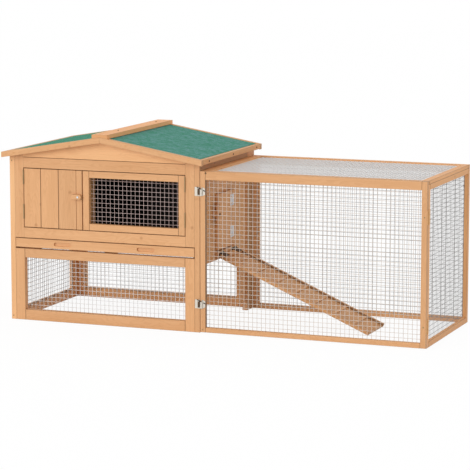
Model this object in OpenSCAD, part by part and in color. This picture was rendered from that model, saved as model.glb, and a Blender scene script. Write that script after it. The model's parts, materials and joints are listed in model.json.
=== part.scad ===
// Outdoor rabbit run: a two-storey hutch under a felted gable roof, with a wire run
// and a ramp beside it. Lengths in millimetres, +Z up, the front faces -Y.
// Every module measures from the hutch's front left bottom corner; from_corner()
// then puts the origin under the middle of the whole object, on the ground.

/* [Overall] */
// Width of the hutch across its two side walls
hutch_w = 732; // [640:1:860]
// Length of the run beside the hutch
run_l = 818; // [760:1:960]
// Depth of the walls, front to back
depth = 530; // [500:1:620]
// Height of the lower storey, up to the top of its front frame
lower_h = 259.5; // [255:0.5:300]
// Height of the hutch's side walls
wall_h = 597; // [592:1:660]
// Height of the run with its top frame
run_h = 568; // [540:1:575]

/* [Hutch timber] */
// Thickness of the side wall posts and rails
post_t = 19; // [16:1:24]
// Width of the front posts, seen from the side
front_post_w = 40; // [34:1:50]
// Width of the rear posts, seen from the side
rear_post_w = 69; // [50:1:80]
// Thickness of the front and back members
frame_t = 15; // [12:1:20]
// Thickness of the wall boards
board_t = 12; // [9:1:14]
// Thickness of the left wall's rails and rear post
left_strip_t = 8; // [6:1:12]
// Thickness of the lower front frame
lower_frame_t = 21; // [16:1:24]
// Width of one wall board
wall_board_w = 84; // [60:1:110]
// Width of the hutch's bottom rails, seen from the front
base_rail_w = 38; // [30:1:46]
// Width of the rails at the lower storey's top
middle_rail_w = 33; // [28:1:40]
// Width of the upper front stiles
upper_stile_w = 34.5; // [28:0.5:42]
// Width of the lower front and the back stiles
lower_stile_w = 36.5; // [30:0.5:44]
// Width of the rail under the doors
door_rail_w = 36.5; // [30:0.5:44]
// Width of the header over the doors
header_w = 37; // [30:1:44]
// Height of the side walls' top rails
top_rail_w = 29; // [24:1:36]
// How far the header's upper edge lies below the side walls' top
gable_drop = 9; // [6:1:14]
// Gap between the header and the gable board over it
gable_gap = 1.5; // [0.5:0.1:2]

/* [Roof] */
// Slope of the roof
roof_slope = 9.6; // [7:0.1:11]
// How far the roof stands out at the eaves
eave_overhang = 19; // [19:1:40]
// How far the roof stands out at front and back
gable_overhang = 29; // [24:1:50]
// Thickness of a barge board
barge_t = 18; // [14:1:22]
// Height of a barge board
barge_h = 20; // [17:1:28]
// Height of an eave fascia
fascia_h = 17.5; // [14:0.5:19]
// Thickness of the roof boards
deck_t = 10; // [8:1:12]
// Thickness of the felt
felt_t = 2; // [1:0.5:3]
// Width of one roof board
deck_board_w = 92; // [70:1:120]
// Width of the ridge cap
cap_w = 60; // [50:1:80]
// Thickness of the ridge cap at its middle
cap_t = 9.5; // [8:0.5:14]

/* [Doors] */
// Width of the board door
board_door_w = 228; // [200:1:260]
// Thickness of the board door
board_door_t = 12; // [10:1:14]
// Width of one board of the board door
door_board_w = 69.5; // [60:0.5:80]
// How much narrower the board at the hinges is
door_board_cut = 3.5; // [0:0.5:10]
// Gap between two boards of the board door
door_seam = 1; // [0.4:0.1:1.5]
// Width of a ledge behind the board door
ledge_w = 30; // [24:1:40]
// How far the ledges stay inside the board door's edges
ledge_inset = 20; // [16:1:30]
// Width of the window door's strips
window_strip_w = 24; // [20:1:30]
// Gap between a door and the frame at its hinges
hinge_gap = 2; // [1.6:0.1:2.4]
// Gap above and below a door
door_gap = 2.2; // [1:0.1:3]
// Gap between the two doors
meeting_gap = 3; // [2.5:0.1:4]
// Height of the lower door hinges above the rail under the doors
hinge_rise = 58; // [50:1:70]
// Distance of the upper door hinges below the header
hinge_drop = 33; // [28:1:60]

/* [Tray] */
// Height of the tray front
tray_front_h = 32.5; // [28:0.5:40]
// Gap below the tray front
tray_gap = 4.5; // [3:0.1:6]
// Gap above the tray front
tray_top_gap = 2.5; // [1:0.1:4]
// Thickness of the tray floor
tray_floor_t = 6; // [4:1:8]
// Height of the rim on the tray floor
tray_rim_h = 9; // [6:1:12]
// Length of a finger slot
slot_l = 68; // [50:1:90]
// Height of a finger slot
slot_h = 14; // [10:1:18]
// Depth of a finger slot
slot_d = 6; // [5:0.5:9]
// Distance between the middles of the two finger slots
slot_spacing = 322; // [250:1:400]

/* [Partition] */
// Distance of the doorway between the two rooms from the front
room_door_y = 90; // [75:1:110]
// Width of that doorway
room_door_w = 210; // [180:1:240]
// Height of that doorway
room_door_h = 215; // [180:1:225]

/* [Run] */
// Width of the run's strips
strip_w = 19.5; // [16:0.5:26]
// Thickness of the run's strips
strip_t = 14; // [12:1:18]
// Thickness of the run's top frame
top_t = 12; // [10:1:16]
// Width of the top frame's strips
top_strip_w = 27; // [22:1:34]
// Width of the top frame's strip beside the hutch
top_left_w = 40; // [30:1:50]
// Clearance of the run door above the ground
run_door_clear = 2; // [1:0.5:4]
// Height of the run door's top rail
run_door_rail_w = 30; // [24:1:36]
// Width of the end frame's stiles, seen from the side
end_stile_w = 21; // [18:1:26]
// Width of the back frame's stile beside the hutch
back_stile_w = 24; // [18:1:30]
// How far the top net lies below the top frame's upper face
top_net_drop = 5; // [4:0.5:9]

/* [Side doorways] */
// Width of the open doorway in the lower right wall
doorway_w = 360; // [320:1:380]
// Height of that doorway
doorway_h = 229.5; // [200:0.5:238]
// Width of the pop door
pop_w = 128; // [110:1:140]
// Height of the pop door
pop_h = 200; // [180:1:210]
// Distance of the pop door from the hutch's front face
pop_y = 164; // [150:1:180]
// Height of the pop door's lower edge
pop_z = 268; // [266:1:280]
// How far the pop door covers the wall round its opening
pop_lap = 12; // [8:1:16]

/* [Ramp] */
// Slope of the ramp at rest
ramp_slope = 23.5; // [21:0.5:28]
// Width of the ramp
ramp_w = 180; // [150:1:200]
// Height of the ramp's side rails
ramp_t = 12; // [10:1:15]
// Width of the ramp's side rails
ramp_rail_w = 12; // [8:1:16]
// How far the ramp's floor board lies below its side rails
ramp_sink = 7; // [4:0.5:8]
// Distance of the ramp from the hutch's front face
ramp_y = 160; // [140:1:170]
// Spacing of the cleats along the ramp
cleat_pitch = 80; // [60:1:120]
// Width of a cleat
cleat_w = 12; // [9:1:16]
// Height of a cleat
cleat_h = 3; // [2:0.5:4]

/* [Mesh] */
// Spacing of the drawn wires: every third wire of 16 mm welded mesh
net_pitch = 48; // [44:1:64]
// Spacing of the drawn wires in the window: every second wire
window_pitch = 32; // [28:1:48]
// Width of a drawn wire
net_wire = 2; // [1.5:0.1:3]
// Thickness of a net
net_t = 1.6; // [1.2:0.1:2.5]
// How far a net laps over its frame
net_lap = 9; // [6:1:10]

/* [Metalwork] */
// Radius of every hinge pin
pin_r = 1.0; // [0.8:0.1:1.3]
// Radial clearance of a pin in its knuckles
pin_play = 0.06; // [0.03:0.01:0.1]
// Outer radius of a knuckle
knuckle_r = 2; // [1.9:0.1:2.3]
// Thickness of a butt hinge leaf in a door gap
edge_leaf_t = 0.7; // [0.5:0.05:0.7]
// Thickness of a surface hinge leaf and of the hasp plates
leaf_t = 1.2; // [1:0.1:1.5]
// Length of the front door hinges
door_hinge_l = 52; // [40:1:60]
// Length of the run door hinges
run_hinge_l = 50; // [40:1:60]
// Length of the pop door hinges
pop_hinge_l = 40; // [36:1:60]
// Length of the ramp hinges
ramp_hinge_l = 40; // [30:1:50]
// Reach of a run hinge's leaf along the end frame
run_leaf_reach = 19; // [16:1:20]
// Reach of a pop door hinge's leaves
pop_leaf_reach = 17; // [15:1:25]
// Reach of a ramp hinge's leaf along the ramp
ramp_leaf_reach = 26; // [20:1:30]
// Height of a hasp
hasp_h = 31; // [30:1:40]
// Distance of the upper hasp below the run's top
upper_hasp_drop = 56; // [45:1:90]
// Height of the lower hasp's lower edge
lower_hasp_z = 86; // [60:1:110]
// Width of a hasp's plate on the hutch
knob_plate_w = 17.5; // [15:0.5:18]
// Radius of a screw head
screw_head_r = 3.2; // [2.5:0.1:4]
// Height of a screw head
screw_head_h = 1.2; // [0.8:0.1:1.6]

/* [Hidden] */

$fn = 32;

fir = "#e2aa72";
fir_shade = "#a8703f";
felt_green = "#4a9a7c";
zinc = "#b9bcbd";
wire_grey = "#a9adb0";

// Clearances
seat = 0.3;             // what rests on or against a neighbour across a body
seam = 0.4;             // between two boards
joint = 0.4;            // hairline where one strip butts against another
knuckle_gap = 0.3;      // between the knuckles of one hinge
leaf_clear = 0.2;       // from a leaf's face to the knuckles' lowest line
cut = 5;                // how far a cutter runs past what it cuts

// Plan: x along the front, y to the back
inner_l = post_t;
left_strip_x = inner_l - left_strip_t;
inner_r = hutch_w - post_t;
rear_post_y = depth - rear_post_w;
back_y = depth - frame_t;
run_x = hutch_w + 1;                     // the run stands free beside the hutch
run_end = hutch_w + run_l;
end_frame_x = run_end - strip_t;
end_frame_y = strip_t + 0.6;             // clear of the closed run door
run_back_y = depth - strip_t;

// Heights of the front
tray_z = lower_h + tray_gap;
door_rail_z = tray_z + tray_front_h + tray_top_gap;
doors_z = door_rail_z + door_rail_w;
gable_z = wall_h - gable_drop;
header_z = gable_z - header_w;
runner_h = 19;
runner_z = tray_z - seat - runner_h;
floor_z = tray_z + tray_floor_t;

// Roof: roof_top(x) is the upper edge of the barge boards
felt_recess = 1.5;
roof_build = deck_t + felt_t + felt_recess;
ridge_x = hutch_w / 2;
roof_rise = tan(roof_slope);
ridge_z = wall_h + seat + roof_build + ridge_x * roof_rise;
function roof_top(x) = ridge_z - abs(x - ridge_x) * roof_rise;
function deck_under(x) = roof_top(x) - roof_build;
eave_l = -eave_overhang;
eave_r = hutch_w + eave_overhang;
fascia_w = eave_overhang - 1;            // clear of the side walls
deck_y0 = -gable_overhang + barge_t;
deck_y1 = depth + gable_overhang - barge_t;

// Screws: shares of the depth, of the distance from the ridge to the eave, and of a strip
fascia_screws = [0.081, 0.513, 0.956];
cap_screws = [0.25, 0.89];
barge_screws = [-0.87, -0.252, 0.252, 0.87];

// Surface leaves: the plate lies one leaf_clear outside the knuckles' lowest line
surface_y = knuckle_r + leaf_clear - leaf_t;

// Front doors
board_door_x = inner_l + upper_stile_w + hinge_gap;
board_door_end = board_door_x + board_door_w;
window_door_x = board_door_end + meeting_gap;
window_door_end = inner_r - upper_stile_w - hinge_gap;
door_bottom = doors_z + door_gap;
door_top = header_z - door_gap;
pin_y = -knuckle_r - leaf_clear;
board_pin_x = board_door_x - hinge_gap / 2;
window_pin_x = window_door_end + hinge_gap / 2;
hinge_zs = [doors_z + hinge_rise, header_z - hinge_drop];

// Turn button on the board door
button_h = 18;
button_t = 10;
washer_t = 1.2;
washer_r = 6;
button_hole = 8;                        // depth of its screw's hole in the door
ledge_rise = 24;                        // from the door's edges to the ledges
button_short = 13.5;
button_long = 28;
button_x = board_door_end + 1 - button_short;    // turned upright, it clears the window door
button_rise = 120;
button_z = doors_z + button_rise;
button_screw_r = 2;

// Run door, in the plane of the front
run_door_x = run_x + 0.5;                // clear of the hutch when it swings
run_door_z = run_door_clear;
net_end_gap = 2;                         // from the run door's net to the end frame
run_wall_h = run_h - top_t;
run_door_top = run_h - 0.5;
run_top_y = end_frame_y;                 // the top frame's front strip, behind the run door
run_pin = [run_end + knuckle_r + leaf_clear, strip_t];
run_hinge_rise = 74;                     // lower hinges above the ground
run_hinge_drop = 110;                    // upper hinges below the top frame
run_hinge_zs = [run_hinge_rise, run_wall_h - run_hinge_drop];

// Wall boards of the right wall and the pop door in front of them
wall_board_x = inner_r;
wall_face = inner_r + board_t;
doorway_end = front_post_w + doorway_w;
right_board_z = 35;
pop_hole_y = [pop_y + pop_lap, pop_y + pop_w - pop_lap];
pop_hole_z = [pop_z + pop_lap, pop_z + pop_h - pop_lap];
pop_t = 12;
pop_x = wall_face + seat;
pop_face = pop_x + pop_t;
pin_side = 0.8;                         // from the pin to the door and to its batten
pop_pin = [pop_face + knuckle_r + leaf_clear, pop_y + pop_w + pin_side];
pop_hinge_rise = 50;
pop_hinge_drop = 36;
pop_hinge_zs = [pop_z + pop_hinge_rise, pop_z + pop_h - pop_hinge_drop];
batten_w = 27;
batten_rise = 10;                       // batten above the pop door's lower edge
pop_block = [14, 24];                   // width and height of the block under the button
pop_button_l = 70;
pop_button_y = pop_y - button_h / 2 - pop_block[0] / 2;
pop_button_rise = 131;
pop_button_z = pop_z + pop_button_rise;

// Ramp, hung from a ledger under the pop door
ledger_h = 24;
ledger_gap = 6;                          // under the pop door
ledger_z = pop_z - ledger_gap - ledger_h;
ramp_pin_drop = 5;                       // below the ledger's upper edge
ramp_pin = [pop_face + knuckle_r + leaf_clear, ledger_z + ledger_h - ramp_pin_drop];
ledger_leaf_reach = 18;
ramp_drop = knuckle_r + leaf_clear;      // from the pin down to the rails' top
ramp_start = 7;
ramp_head = ramp_leaf_reach + 2;         // end of the block that holds the leaves
ramp_floor_w = ramp_rail_w + joint;      // from the ramp's side to its floor board
ramp_floor_drop = ramp_drop + ramp_sink;
cleat_margins = [30, 20];                // free of cleats after the leaves and before the end
ramp_end = (ramp_pin[1] - (ramp_drop + ramp_t) * cos(ramp_slope) - seat) / sin(ramp_slope);
ramp_hinge_in = 30;
ramp_hinge_ys = [ramp_y + ramp_hinge_in, ramp_y + ramp_w - ramp_hinge_in];

// Partition between the two upper rooms
partition_t = 12;
partition_x = board_door_end - 2;       // both doors close against its edge
partition_y = frame_t + seat;
partition_gap = 6;                      // the tray slides under it
partition_z = floor_z + tray_rim_h + partition_gap;
room_door_ys = [room_door_y, room_door_y + room_door_w];

// Hasps: knob plate on the right front post, flap and leaf on the run door
knob_in = 2.3;                           // from the hutch's right side
knob_x = hutch_w - knob_in;
knob_slot = [5, 4.2];                    // slot to the left and right of the knob's axis
knob_plate_x = hutch_w - 0.5;
hasp_pin_in = 8.5;                       // from the run door's edge
hasp_pin_out = 2.4;                      // before the front
hasp_pin = [run_door_x + hasp_pin_in, -hasp_pin_out];
upper_hasp_z = run_h - upper_hasp_drop - hasp_h;
hasp_knuckle_r = 1.8;
hasp_pin_r = 0.8;
hasp_wide = 10.5;                        // door leaf, from the pin to its end
flap_reach = 25;                         // flap, from the pin to its free edge
knob_up = 8;
knob_down = 13;
knob_play = 1.5;                         // between the knob and its slot in the flap
knob_neck_r = 1.5;
knob_neck_l = 6;
knob_t = 4;
knob_half = [1.6, 2.5];                  // half its width at the lower end and above
knob_pivot_up = 17;                      // pivot above a hasp's lower edge

// Tray
tray_l = inner_l + 1;
tray_r = inner_r - 1.5;
tray_side = 2;
rim_t = 8;
tray_back_gap = 12;                      // free space behind the floor
tray_back = back_y - tray_back_gap;

// The whole object, for its origin
x_low = eave_l - screw_head_h;
x_high = run_pin[0] + knuckle_r;
origin_x = (x_low + x_high) / 2;
origin_y = depth / 2;

module from_corner() translate([-origin_x, -origin_y, 0]) children();

// A box between two corners
module block(low, high) translate(low) cube(high - low);

// A strip of vertical boards along x, from x0 to x1
module boards_along_x(x0, x1, y, t, z0, z1, board_w) {
    count = max(1, round((x1 - x0) / board_w));
    pitch = (x1 - x0) / count;
    for (i = [0 : count - 1])
        block([x0 + i * pitch + (i > 0 ? seam / 2 : 0), y, z0],
              [x0 + (i + 1) * pitch - (i < count - 1 ? seam / 2 : 0), y + t, z1]);
}

// The same along y, for the side walls
module boards_along_y(y0, y1, x, t, z0, z1, board_w) {
    count = max(1, round((y1 - y0) / board_w));
    pitch = (y1 - y0) / count;
    for (i = [0 : count - 1])
        block([x, y0 + i * pitch + seam / 2, z0],
              [x + t, y0 + (i + 1) * pitch - seam / 2, z1]);
}

// Four strips round a bay in the plane of x and z: two stiles full height, two rails between
module frame_xz(x0, x1, z0, z1, y, t, stile_l, stile_r, rail_low, rail_top) {
    block([x0, y, z0], [x0 + stile_l, y + t, z1]);
    block([x1 - stile_r, y, z0], [x1, y + t, z1]);
    block([x0 + stile_l + joint, y, z0], [x1 - stile_r - joint, y + t, z0 + rail_low]);
    block([x0 + stile_l + joint, y, z1 - rail_top], [x1 - stile_r - joint, y + t, z1]);
}

// Net in the plane of x and y: strands along y below strands along x, the outer ones on its edges
module net(w, h, pitch) {
    across = max(1, round(w / pitch));
    up = max(1, round(h / pitch));
    layer = (net_t - joint) / 2;
    for (i = [0 : across]) translate([i * (w - net_wire) / across, 0, 0])
        cube([net_wire, h, layer]);
    for (j = [0 : up]) translate([0, j * (h - net_wire) / up, layer + joint])
        cube([w, net_wire, layer]);
}

// Net upright along x; its front face lies at y
module net_xz(x0, x1, z0, z1, y, pitch = net_pitch)
    translate([x0, y + net_t, z0]) rotate([90, 0, 0]) net(x1 - x0, z1 - z0, pitch);

// Net upright along y; its left face lies at x
module net_yz(y0, y1, z0, z1, x, pitch = net_pitch)
    translate([x, y0, z0]) rotate([90, 0, 90]) net(y1 - y0, z1 - z0, pitch);

// Pan head that sits on a face; its top points along +Z
module screw_head(r = screw_head_r, h = screw_head_h)
    rotate_extrude() polygon([[0, 0], [r, 0], [r, h * 0.45], [r * 0.6, h], [0, h]]);

// One hinge leaf round a pin on the z axis. The plate runs along +x, between plate_y and
// plate_y + t, and holds the outer knuckles of the hinge or the middle one.
module hinge_leaf(l, reach, plate_y, t, outer, r = knuckle_r, bore = pin_r + pin_play) {
    third = l / 3;
    spans = outer ? [[-l / 2, -third / 2 - knuckle_gap / 2], [third / 2 + knuckle_gap / 2, l / 2]]
                  : [[-third / 2 + knuckle_gap / 2, third / 2 - knuckle_gap / 2]];
    plate_x = r + 0.15;
    difference() {
        union() {
            translate([plate_x, plate_y, -l / 2]) cube([reach - plate_x, t, l]);
            for (s = spans) translate([0, 0, s[0]]) {
                cylinder(r = r, h = s[1] - s[0]);
                translate([0.2, plate_y, 0]) cube([plate_x, t, s[1] - s[0]]);
            }
        }
        translate([0, 0, -l / 2 - cut]) cylinder(r = bore, h = l + 2 * cut);
    }
}

// The pin of a hinge of length l, centred on the origin
module hinge_pin(l, r = pin_r) translate([0, 0, -l / 2]) cylinder(r = r, h = l);

// Places children at a hinge pin that stands upright
module at_pin(xy, z) translate([xy[0], xy[1], z]) children();

// Local x turned to run down the wall, and local x turned to run down the ramp
module at_ramp_pin(y) translate([ramp_pin[0], y, ramp_pin[1]]) children();
module down_wall() rotate([0, 90, 0]) rotate([90, 0, 0]) children();
module down_ramp() rotate([0, ramp_slope, 0]) rotate([90, 0, 0]) children();

// Outline of something in the plane of x and z, from y0 to y1
module profile_xz(points, y0, y1)
    translate([0, y1, 0]) rotate([90, 0, 0]) linear_extrude(y1 - y0) polygon(points);

// ---- Lower storey and walls ----

module left_wall_frame() color(fir) from_corner() {
    block([0, 0, 0], [post_t, front_post_w, wall_h]);
    block([left_strip_x, rear_post_y, 0], [inner_l, depth, wall_h]);
    for (z = [[0, base_rail_w], [lower_h - middle_rail_w, lower_h],
              [wall_h - top_rail_w, wall_h]])
        block([left_strip_x, front_post_w + joint, z[0]], [inner_l, rear_post_y - joint, z[1]]);
}

module left_wall_boards() color(fir) from_corner()
    boards_along_y(front_post_w, rear_post_y, post_t - board_t, board_t,
                   lower_h, wall_h - top_rail_w, wall_board_w);

module left_wall_mesh() color(wire_grey) from_corner()
    net_yz(front_post_w - net_lap, rear_post_y + net_lap, base_rail_w - net_lap,
           lower_h - middle_rail_w + net_lap, post_t);

module right_wall_frame() color(fir) from_corner() {
    block([inner_r, 0, 0], [hutch_w, front_post_w, wall_h]);
    block([inner_r, rear_post_y, 0], [hutch_w, depth, wall_h]);
    block([inner_r, front_post_w + joint, wall_h - top_rail_w],
          [hutch_w, rear_post_y - joint, wall_h]);
}

// The boards stop over the low doorway and leave the pop door's opening free
module right_wall_boards() color(fir_shade) from_corner() {
    top = wall_h - top_rail_w;
    boards_along_y(front_post_w, pop_hole_y[0], wall_board_x, board_t,
                   doorway_h, top, wall_board_w);
    for (z = [[doorway_h, pop_hole_z[0]], [pop_hole_z[1], top]])
        boards_along_y(pop_hole_y[0], pop_hole_y[1], wall_board_x, board_t,
                       z[0], z[1], wall_board_w);
    boards_along_y(pop_hole_y[1], doorway_end, wall_board_x, board_t,
                   doorway_h, top, wall_board_w);
    boards_along_y(doorway_end, rear_post_y, wall_board_x, board_t,
                   right_board_z, top, wall_board_w);
}

module back_wall_frame() color(fir) from_corner() {
    for (x = [inner_l, inner_r - lower_stile_w])
        block([x, back_y, 0], [x + lower_stile_w, depth, gable_z]);
    for (z = [[0, base_rail_w], [lower_h - middle_rail_w, lower_h],
              [gable_z - header_w, gable_z]])
        block([inner_l + lower_stile_w + joint, back_y, z[0]],
              [inner_r - lower_stile_w - joint, depth, z[1]]);
}

module back_wall_boards() color(fir) from_corner()
    boards_along_x(inner_l + lower_stile_w, inner_r - lower_stile_w, back_y, board_t,
                   lower_h, gable_z - header_w, wall_board_w);

module back_wall_mesh() color(wire_grey) from_corner()
    net_xz(inner_l + lower_stile_w - net_lap, inner_r - lower_stile_w + net_lap,
           base_rail_w - net_lap, lower_h - middle_rail_w + net_lap, back_y - net_t);

// Front gable board between the stiles, back gable board between the side walls
module gable_boards() color(fir) from_corner() {
    for (g = [[inner_l + upper_stile_w, inner_r - upper_stile_w, 0],
              [inner_l, inner_r, back_y]])
        profile_xz([[g[0], gable_z + gable_gap], [g[1], gable_z + gable_gap],
                    [g[1], deck_under(g[1]) - seat], [ridge_x, deck_under(ridge_x) - seat],
                    [g[0], deck_under(g[0]) - seat]],
                   g[2], g[2] + frame_t);
}

module front_stiles() color(fir) from_corner()
    for (x = [inner_l, inner_r - upper_stile_w])
        profile_xz([[x, door_rail_z], [x + upper_stile_w, door_rail_z],
                    [x + upper_stile_w, deck_under(x + upper_stile_w) - seat],
                    [x, deck_under(x) - seat]], 0, frame_t);

// Rail under the doors and header over them
module front_rails() color(fir) from_corner()
    for (z = [[door_rail_z, doors_z], [header_z, gable_z]])
        block([inner_l + upper_stile_w, 0, z[0]], [inner_r - upper_stile_w, frame_t, z[1]]);

module lower_front_frame() color(fir) from_corner()
    frame_xz(inner_l, inner_r, 0, lower_h, 0, lower_frame_t,
             lower_stile_w, lower_stile_w, base_rail_w, middle_rail_w);

module lower_front_mesh() color(wire_grey) from_corner()
    net_xz(inner_l + lower_stile_w - net_lap, inner_r - lower_stile_w + net_lap,
           base_rail_w - net_lap, lower_h - middle_rail_w + net_lap, lower_frame_t);

// Runners left, middle and right, from the front frame to the back wall
module tray_runners() color(fir_shade) from_corner()
    for (x = [inner_l, ridge_x - frame_t / 2, inner_r - frame_t])
        block([x, lower_frame_t, runner_z], [x + frame_t, back_y, runner_z + runner_h]);

// Boards before, behind and over the doorway between the rooms
module partition() color(fir_shade) from_corner() {
    top = gable_z;
    door_top_z = partition_z + room_door_h;
    block([partition_x, partition_y, partition_z],
          [partition_x + partition_t, room_door_ys[0], top]);
    block([partition_x, room_door_ys[1], partition_z],
          [partition_x + partition_t, back_y - seat, top]);
    block([partition_x, room_door_ys[0] + joint, door_top_z],
          [partition_x + partition_t, room_door_ys[1] - joint, top]);
}

// ---- Roof ----

// A layer of the roof between x0 and x1, its upper and lower faces depth below the roof line
module roof_layer(x0, x1, upper, lower, y0, y1)
    profile_xz([[x0, roof_top(x0) - lower], [x1, roof_top(x1) - lower],
                [x1, roof_top(x1) - upper], [x0, roof_top(x0) - upper]], y0, y1);

module roof_boards(x0, x1) {
    count = round((deck_y1 - deck_y0) / deck_board_w);
    pitch = (deck_y1 - deck_y0) / count;
    for (i = [0 : count - 1])
        roof_layer(x0, x1, felt_recess + felt_t, roof_build,
                   deck_y0 + i * pitch + (i > 0 ? seam / 2 : 0),
                   deck_y0 + (i + 1) * pitch - (i < count - 1 ? seam / 2 : 0));
}

module roof_boards_left() color(fir_shade) from_corner()
    roof_boards(eave_l + fascia_w, ridge_x);

module roof_boards_right() color(fir_shade) from_corner()
    roof_boards(ridge_x, eave_r - fascia_w);

module roof_felt_left() color(felt_green) from_corner()
    roof_layer(eave_l + fascia_w, ridge_x, felt_recess, felt_recess + felt_t,
               deck_y0, deck_y1);

module roof_felt_right() color(felt_green) from_corner()
    roof_layer(ridge_x, eave_r - fascia_w, felt_recess, felt_recess + felt_t,
               deck_y0, deck_y1);

// The cap's underside follows both slopes
module ridge_cap() color(fir) from_corner() {
    half = cap_w / 2;
    profile_xz([[ridge_x - half, roof_top(ridge_x - half)], [ridge_x, ridge_z],
                [ridge_x + half, roof_top(ridge_x + half)],
                [ridge_x + half, ridge_z + cap_t], [ridge_x - half, ridge_z + cap_t]],
               -gable_overhang, depth + gable_overhang);
}

module barge_boards() color(fir) from_corner()
    for (y = [-gable_overhang, deck_y1],
         x = [[eave_l, ridge_x - joint / 2], [ridge_x + joint / 2, eave_r]])
        roof_layer(x[0], x[1], 0, barge_h, y, y + barge_t);

module eave_fascias() color(fir) from_corner() {
    top = roof_top(eave_l);
    for (x = [eave_l, eave_r - fascia_w])
        block([x, deck_y0, top - fascia_h], [x + fascia_w, deck_y1, top]);
}

// Heads of the screws in the roof and the run's top frame, and the pop button's pivot screw
module screws() color(zinc) from_corner() {
    fascia_z = roof_top(eave_l) - fascia_h / 2;
    for (share = fascia_screws) {
        translate([eave_r, share * depth, fascia_z]) rotate([0, 90, 0]) screw_head();
        translate([eave_l, share * depth, fascia_z]) rotate([0, -90, 0]) screw_head();
    }
    for (share = cap_screws) translate([ridge_x, share * depth, ridge_z + cap_t]) screw_head();
    for (share = barge_screws) {
        x = ridge_x + share * (eave_r - ridge_x);
        z = roof_top(x) - barge_h / 2;
        translate([x, -gable_overhang, z]) rotate([90, 0, 0]) screw_head();
        translate([x, depth + gable_overhang, z]) rotate([-90, 0, 0]) screw_head();
    }
    for (x = [run_x + top_left_w / 2, run_end - top_strip_w / 2])
        translate([x, depth, run_h - top_t / 2]) rotate([-90, 0, 0]) screw_head();
    for (y = [(run_top_y + top_strip_w) / 2, depth - top_strip_w / 2])
        translate([run_end, y, run_h - top_t / 2]) rotate([0, 90, 0]) screw_head();
    translate([pop_face, pop_button_y, pop_button_z]) rotate([0, 90, 0]) pivot_screw(0, 1);
}

// ---- Run ----

// A stile beside the hutch and two rails, which run to the end frame's rear stile
module run_back_frame() color(fir) from_corner() {
    block([run_x, run_back_y, 0], [run_x + back_stile_w, depth, run_wall_h]);
    for (z = [[0, strip_w], [run_wall_h - strip_w, run_wall_h]])
        block([run_x + back_stile_w + joint, run_back_y, z[0]], [end_frame_x, depth, z[1]]);
}

module run_back_mesh() color(wire_grey) from_corner()
    net_xz(run_x + back_stile_w - net_lap, end_frame_x - net_t - seat, strip_w - net_lap,
           run_wall_h - strip_w + net_lap, run_back_y - net_t);

module run_end_frame() color(fir) from_corner() {
    front = [end_frame_y, end_frame_y + end_stile_w];
    rear = [depth - end_stile_w, depth];
    for (y = [front, rear]) block([end_frame_x, y[0], 0], [run_end, y[1], run_wall_h]);
    for (z = [[0, strip_w], [run_wall_h - strip_w, run_wall_h]])
        block([end_frame_x, front[1] + joint, z[0]], [run_end, rear[0] - joint, z[1]]);
}

module run_end_mesh() color(wire_grey) from_corner()
    net_yz(end_frame_y + end_stile_w - net_lap, run_back_y - net_t - seat, strip_w - net_lap,
           run_wall_h - strip_w + net_lap, end_frame_x - net_t);

// The run door stands before the front strip
module run_top_frame() color(fir) from_corner() {
    block([run_x, run_top_y, run_wall_h], [run_end, top_strip_w, run_h]);
    block([run_x, depth - top_strip_w, run_wall_h], [run_end, depth, run_h]);
    for (x = [[run_x, run_x + top_left_w], [run_end - top_strip_w, run_end]])
        block([x[0], top_strip_w + joint, run_wall_h],
              [x[1], depth - top_strip_w - joint, run_h]);
}

// The top net is set into the inner edges of its frame
module run_top_mesh() color(wire_grey) from_corner()
    translate([run_x + top_left_w, top_strip_w, run_h - top_net_drop])
        net(run_end - run_x - top_left_w - top_strip_w, depth - 2 * top_strip_w, net_pitch);

module run_door_frame() color(fir) from_corner()
    frame_xz(run_door_x, run_end, run_door_z, run_door_top, 0, strip_t,
             strip_w, strip_w, strip_w - run_door_clear, run_door_rail_w);

module run_door_mesh() color(wire_grey) from_corner()
    net_xz(run_door_x + strip_w - net_lap, end_frame_x - net_end_gap,
           strip_w - net_lap, run_door_top - run_door_rail_w + net_lap, strip_t);

// ---- Hinges ----

module door_jamb_leaves() color(zinc) from_corner()
    for (z = hinge_zs) {
        at_pin([board_pin_x, pin_y], z) rotate(90)
            hinge_leaf(door_hinge_l, frame_t, hinge_gap / 2 - edge_leaf_t, edge_leaf_t, true);
        at_pin([window_pin_x, pin_y], z) rotate(90)
            hinge_leaf(door_hinge_l, frame_t, -hinge_gap / 2, edge_leaf_t, true);
    }

module board_door_leaves() color(zinc) from_corner()
    for (z = hinge_zs) at_pin([board_pin_x, pin_y], z) rotate(90)
        hinge_leaf(door_hinge_l, frame_t - 2, -hinge_gap / 2, edge_leaf_t, false);

module window_door_leaves() color(zinc) from_corner()
    for (z = hinge_zs) at_pin([window_pin_x, pin_y], z) rotate(90)
        hinge_leaf(door_hinge_l, frame_t, hinge_gap / 2 - edge_leaf_t, edge_leaf_t, false);

module run_jamb_leaves() color(zinc) from_corner()
    for (z = run_hinge_zs) at_pin(run_pin, z) rotate(90)
        hinge_leaf(run_hinge_l, run_leaf_reach, surface_y, leaf_t, true);

module run_door_leaves() color(zinc) from_corner()
    for (z = run_hinge_zs) at_pin(run_pin, z) rotate(-90)
        hinge_leaf(run_hinge_l, strip_t - 1, -surface_y - leaf_t, leaf_t, false);

// Leaves of the pop door on its batten and of the ramp on its ledger
module inner_jamb_leaves() color(zinc) from_corner() {
    for (z = pop_hinge_zs) at_pin(pop_pin, z) rotate(90)
        hinge_leaf(pop_hinge_l, pop_leaf_reach, surface_y, leaf_t, true);
    for (y = ramp_hinge_ys) at_ramp_pin(y) down_wall()
        hinge_leaf(ramp_hinge_l, ledger_leaf_reach, -surface_y - leaf_t, leaf_t, true);
}

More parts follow.
